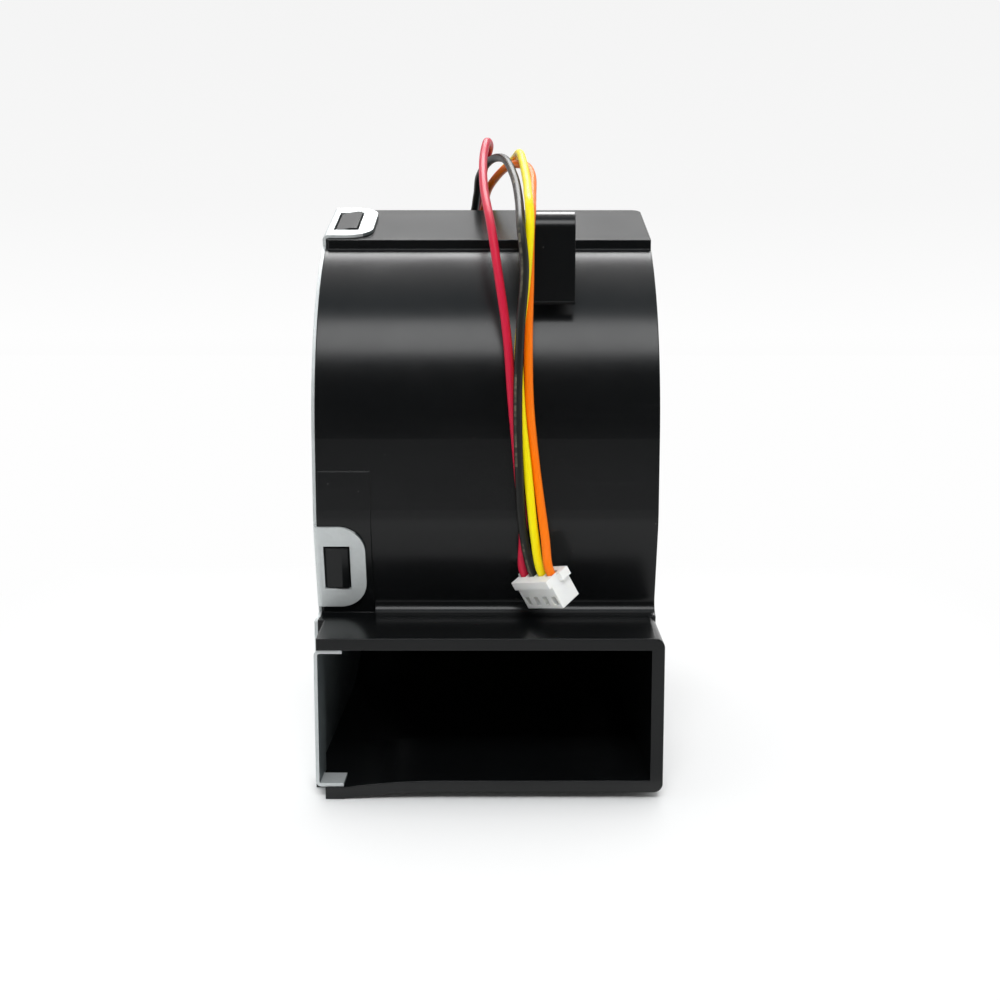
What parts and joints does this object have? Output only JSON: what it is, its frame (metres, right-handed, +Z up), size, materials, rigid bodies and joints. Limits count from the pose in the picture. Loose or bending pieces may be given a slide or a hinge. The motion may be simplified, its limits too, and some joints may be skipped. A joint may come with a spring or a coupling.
{
  "type": "centrifugal cooling blower",
  "caption": "Scroll blower with a moulded black housing, latched steel side plate, caged fan wheel on an outer-rotor motor, rectangular outlet and coloured leads ending in a crimp connector.",
  "frame": {"origin": "bottom centre of the blower's box, leads and connector left out", "axes": "+Z up, -Y out of the outlet mouth, X along the fan shaft with the steel plate at -X"},
  "size_m": [0.051, 0.0838, 0.0976],
  "materials": {
    "housing_plastic": "satin-gloss moulded black plastic",
    "zinc_steel": "zinc-coated sheet, faint spangle",
    "brass": "turned",
    "cap_rubber": "matte",
    "sintered_bronze": "porous, oiled",
    "lamination_steel": "stacked sheets",
    "insulator_plastic": "matte",
    "copper_wire": "enamelled copper",
    "board_laminate": "solder mask",
    "chip_resin": "moulded resin",
    "lead_sleeve_red": "smooth lead sleeve",
    "lead_sleeve_black": "smooth lead sleeve",
    "lead_sleeve_yellow": "smooth lead sleeve",
    "lead_sleeve_orange": "smooth lead sleeve",
    "connector_nylon": "natural white nylon",
    "contact_metal": "tin plated",
    "wheel_plastic": "moulded",
    "cup_steel": "drawn, plated",
    "magnet_ferrite": "bonded ferrite",
    "shaft_steel": "ground",
    "washer_plastic": "smooth"
  },
  "bodies": {
    "root": {"housing": "housing_plastic", "cover_plate": "zinc_steel", "bearing_tube": "brass", "tube_cap": "cap_rubber", "bearing_outer": "sintered_bronze", "bearing_inner": "sintered_bronze", "stator_core": "lamination_steel", "insulator_outer": "insulator_plastic", "insulator_inner": "insulator_plastic", "stator_windings": "copper_wire", "circuit_board": "board_laminate", "driver_chip": "chip_resin", "hall_sensor": "chip_resin", "inner_leads": "lead_sleeve_black", "lead_red": "lead_sleeve_red", "lead_black": "lead_sleeve_black", "lead_yellow": "lead_sleeve_yellow", "lead_orange": "lead_sleeve_orange", "connector_housing": "connector_nylon", "connector_contacts": "contact_metal"},
    "rotor": {"impeller": "wheel_plastic", "blades_plate": "wheel_plastic", "blades_eye": "wheel_plastic", "rotor_cup": "cup_steel", "rotor_magnet": "magnet_ferrite", "shaft_boss": "brass", "shaft": "shaft_steel", "preload_spring": "shaft_steel", "thrust_washer": "washer_plastic", "retaining_clip": "shaft_steel"}
  },
  "joints": [
    {"name": "rotor_spin", "type": "hinge", "parent": "root", "child": "rotor", "pos_m": [0, -0.00035, 0.0482], "axis": [1, 0, 0], "continuous": true}
  ]
}
